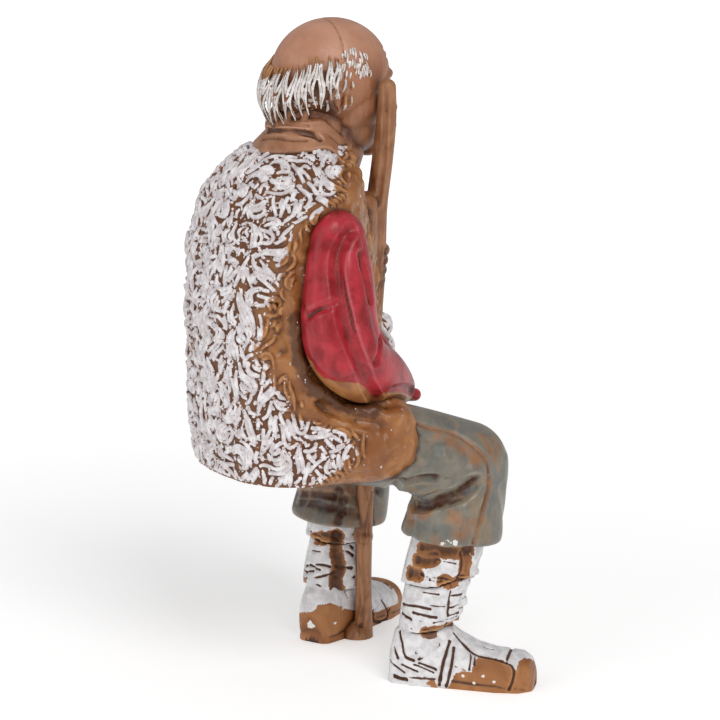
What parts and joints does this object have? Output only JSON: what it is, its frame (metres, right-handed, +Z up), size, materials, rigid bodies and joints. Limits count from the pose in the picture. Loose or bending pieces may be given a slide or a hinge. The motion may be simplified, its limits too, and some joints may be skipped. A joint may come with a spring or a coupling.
{
  "type": "nativity figure",
  "caption": "Seated old shepherd for a crib scene, in a fleece coat, with both hands on an upright staff, cast in one piece with a flat underside to sit on.",
  "frame": {"origin": "middle of the flat underside that the figure sits with", "axes": "+Z up, the figure faces -Y and its right side is -X; the soles and the staff's foot are level, 26.3 mm below the origin"},
  "size_m": [0.0399, 0.036, 0.0791],
  "materials": {
    "cast": "solid cast plastic with warm brown paint and a dark wash in the hollows, semi-gloss",
    "fleece_paint": "off-white paint brushed over the raised wool and hair",
    "skin_paint": "tan skin paint with a brown wash",
    "shirt_paint": "deep red paint, rubbed lighter on the folds",
    "breeches_paint": "blue-grey paint with a brown wash",
    "wrap_paint": "white paint over the leg wraps, brown in the grooves"
  },
  "bodies": {
    "root": {"shepherd_figure": "cast"}
  },
  "joints": []
}
